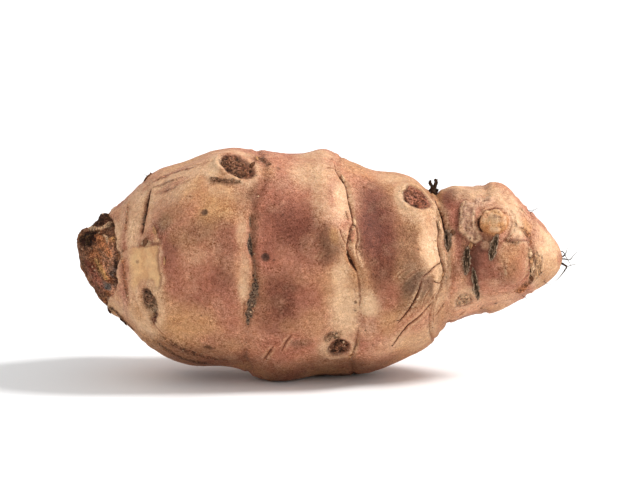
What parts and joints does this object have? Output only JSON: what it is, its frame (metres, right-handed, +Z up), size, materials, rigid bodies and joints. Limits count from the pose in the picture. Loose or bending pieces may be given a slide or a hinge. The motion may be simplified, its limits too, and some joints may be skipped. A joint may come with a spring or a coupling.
{
  "type": "jerusalem artichoke",
  "caption": "Knobbly elongated root vegetable tuber lying on its side, with ringed joints, bud swellings, a dark stem scar, dried scale leaves and fine rootlets at the growing tip.",
  "frame": {"origin": "middle of the footprint of the bounding box, on the surface that the tuber rests on", "axes": "+X along the tuber from the stem scar to the growing tip, +Z up, -Y towards the side with the brown bud swelling"},
  "size_m": [0.0986, 0.0434, 0.0451],
  "materials": {
    "tuber_skin": "dry thin skin, satin, blotched rosy pink and tan",
    "dry_root": "dry grey-brown root fibre",
    "scale_leaf": "dark papery dried leaf"
  },
  "bodies": {
    "root": {"tuber": "tuber_skin", "tip_rootlet_1": "dry_root", "tip_rootlet_2": "dry_root", "tip_rootlet_3": "dry_root", "tip_rootlet_4": "dry_root", "tip_rootlet_5": "dry_root", "neck_root_stub": "dry_root", "scale_leaf_neck": "scale_leaf", "scale_leaf_head_upper": "scale_leaf", "scale_leaf_head_middle": "scale_leaf", "scale_leaf_head_lower": "scale_leaf"}
  },
  "joints": []
}
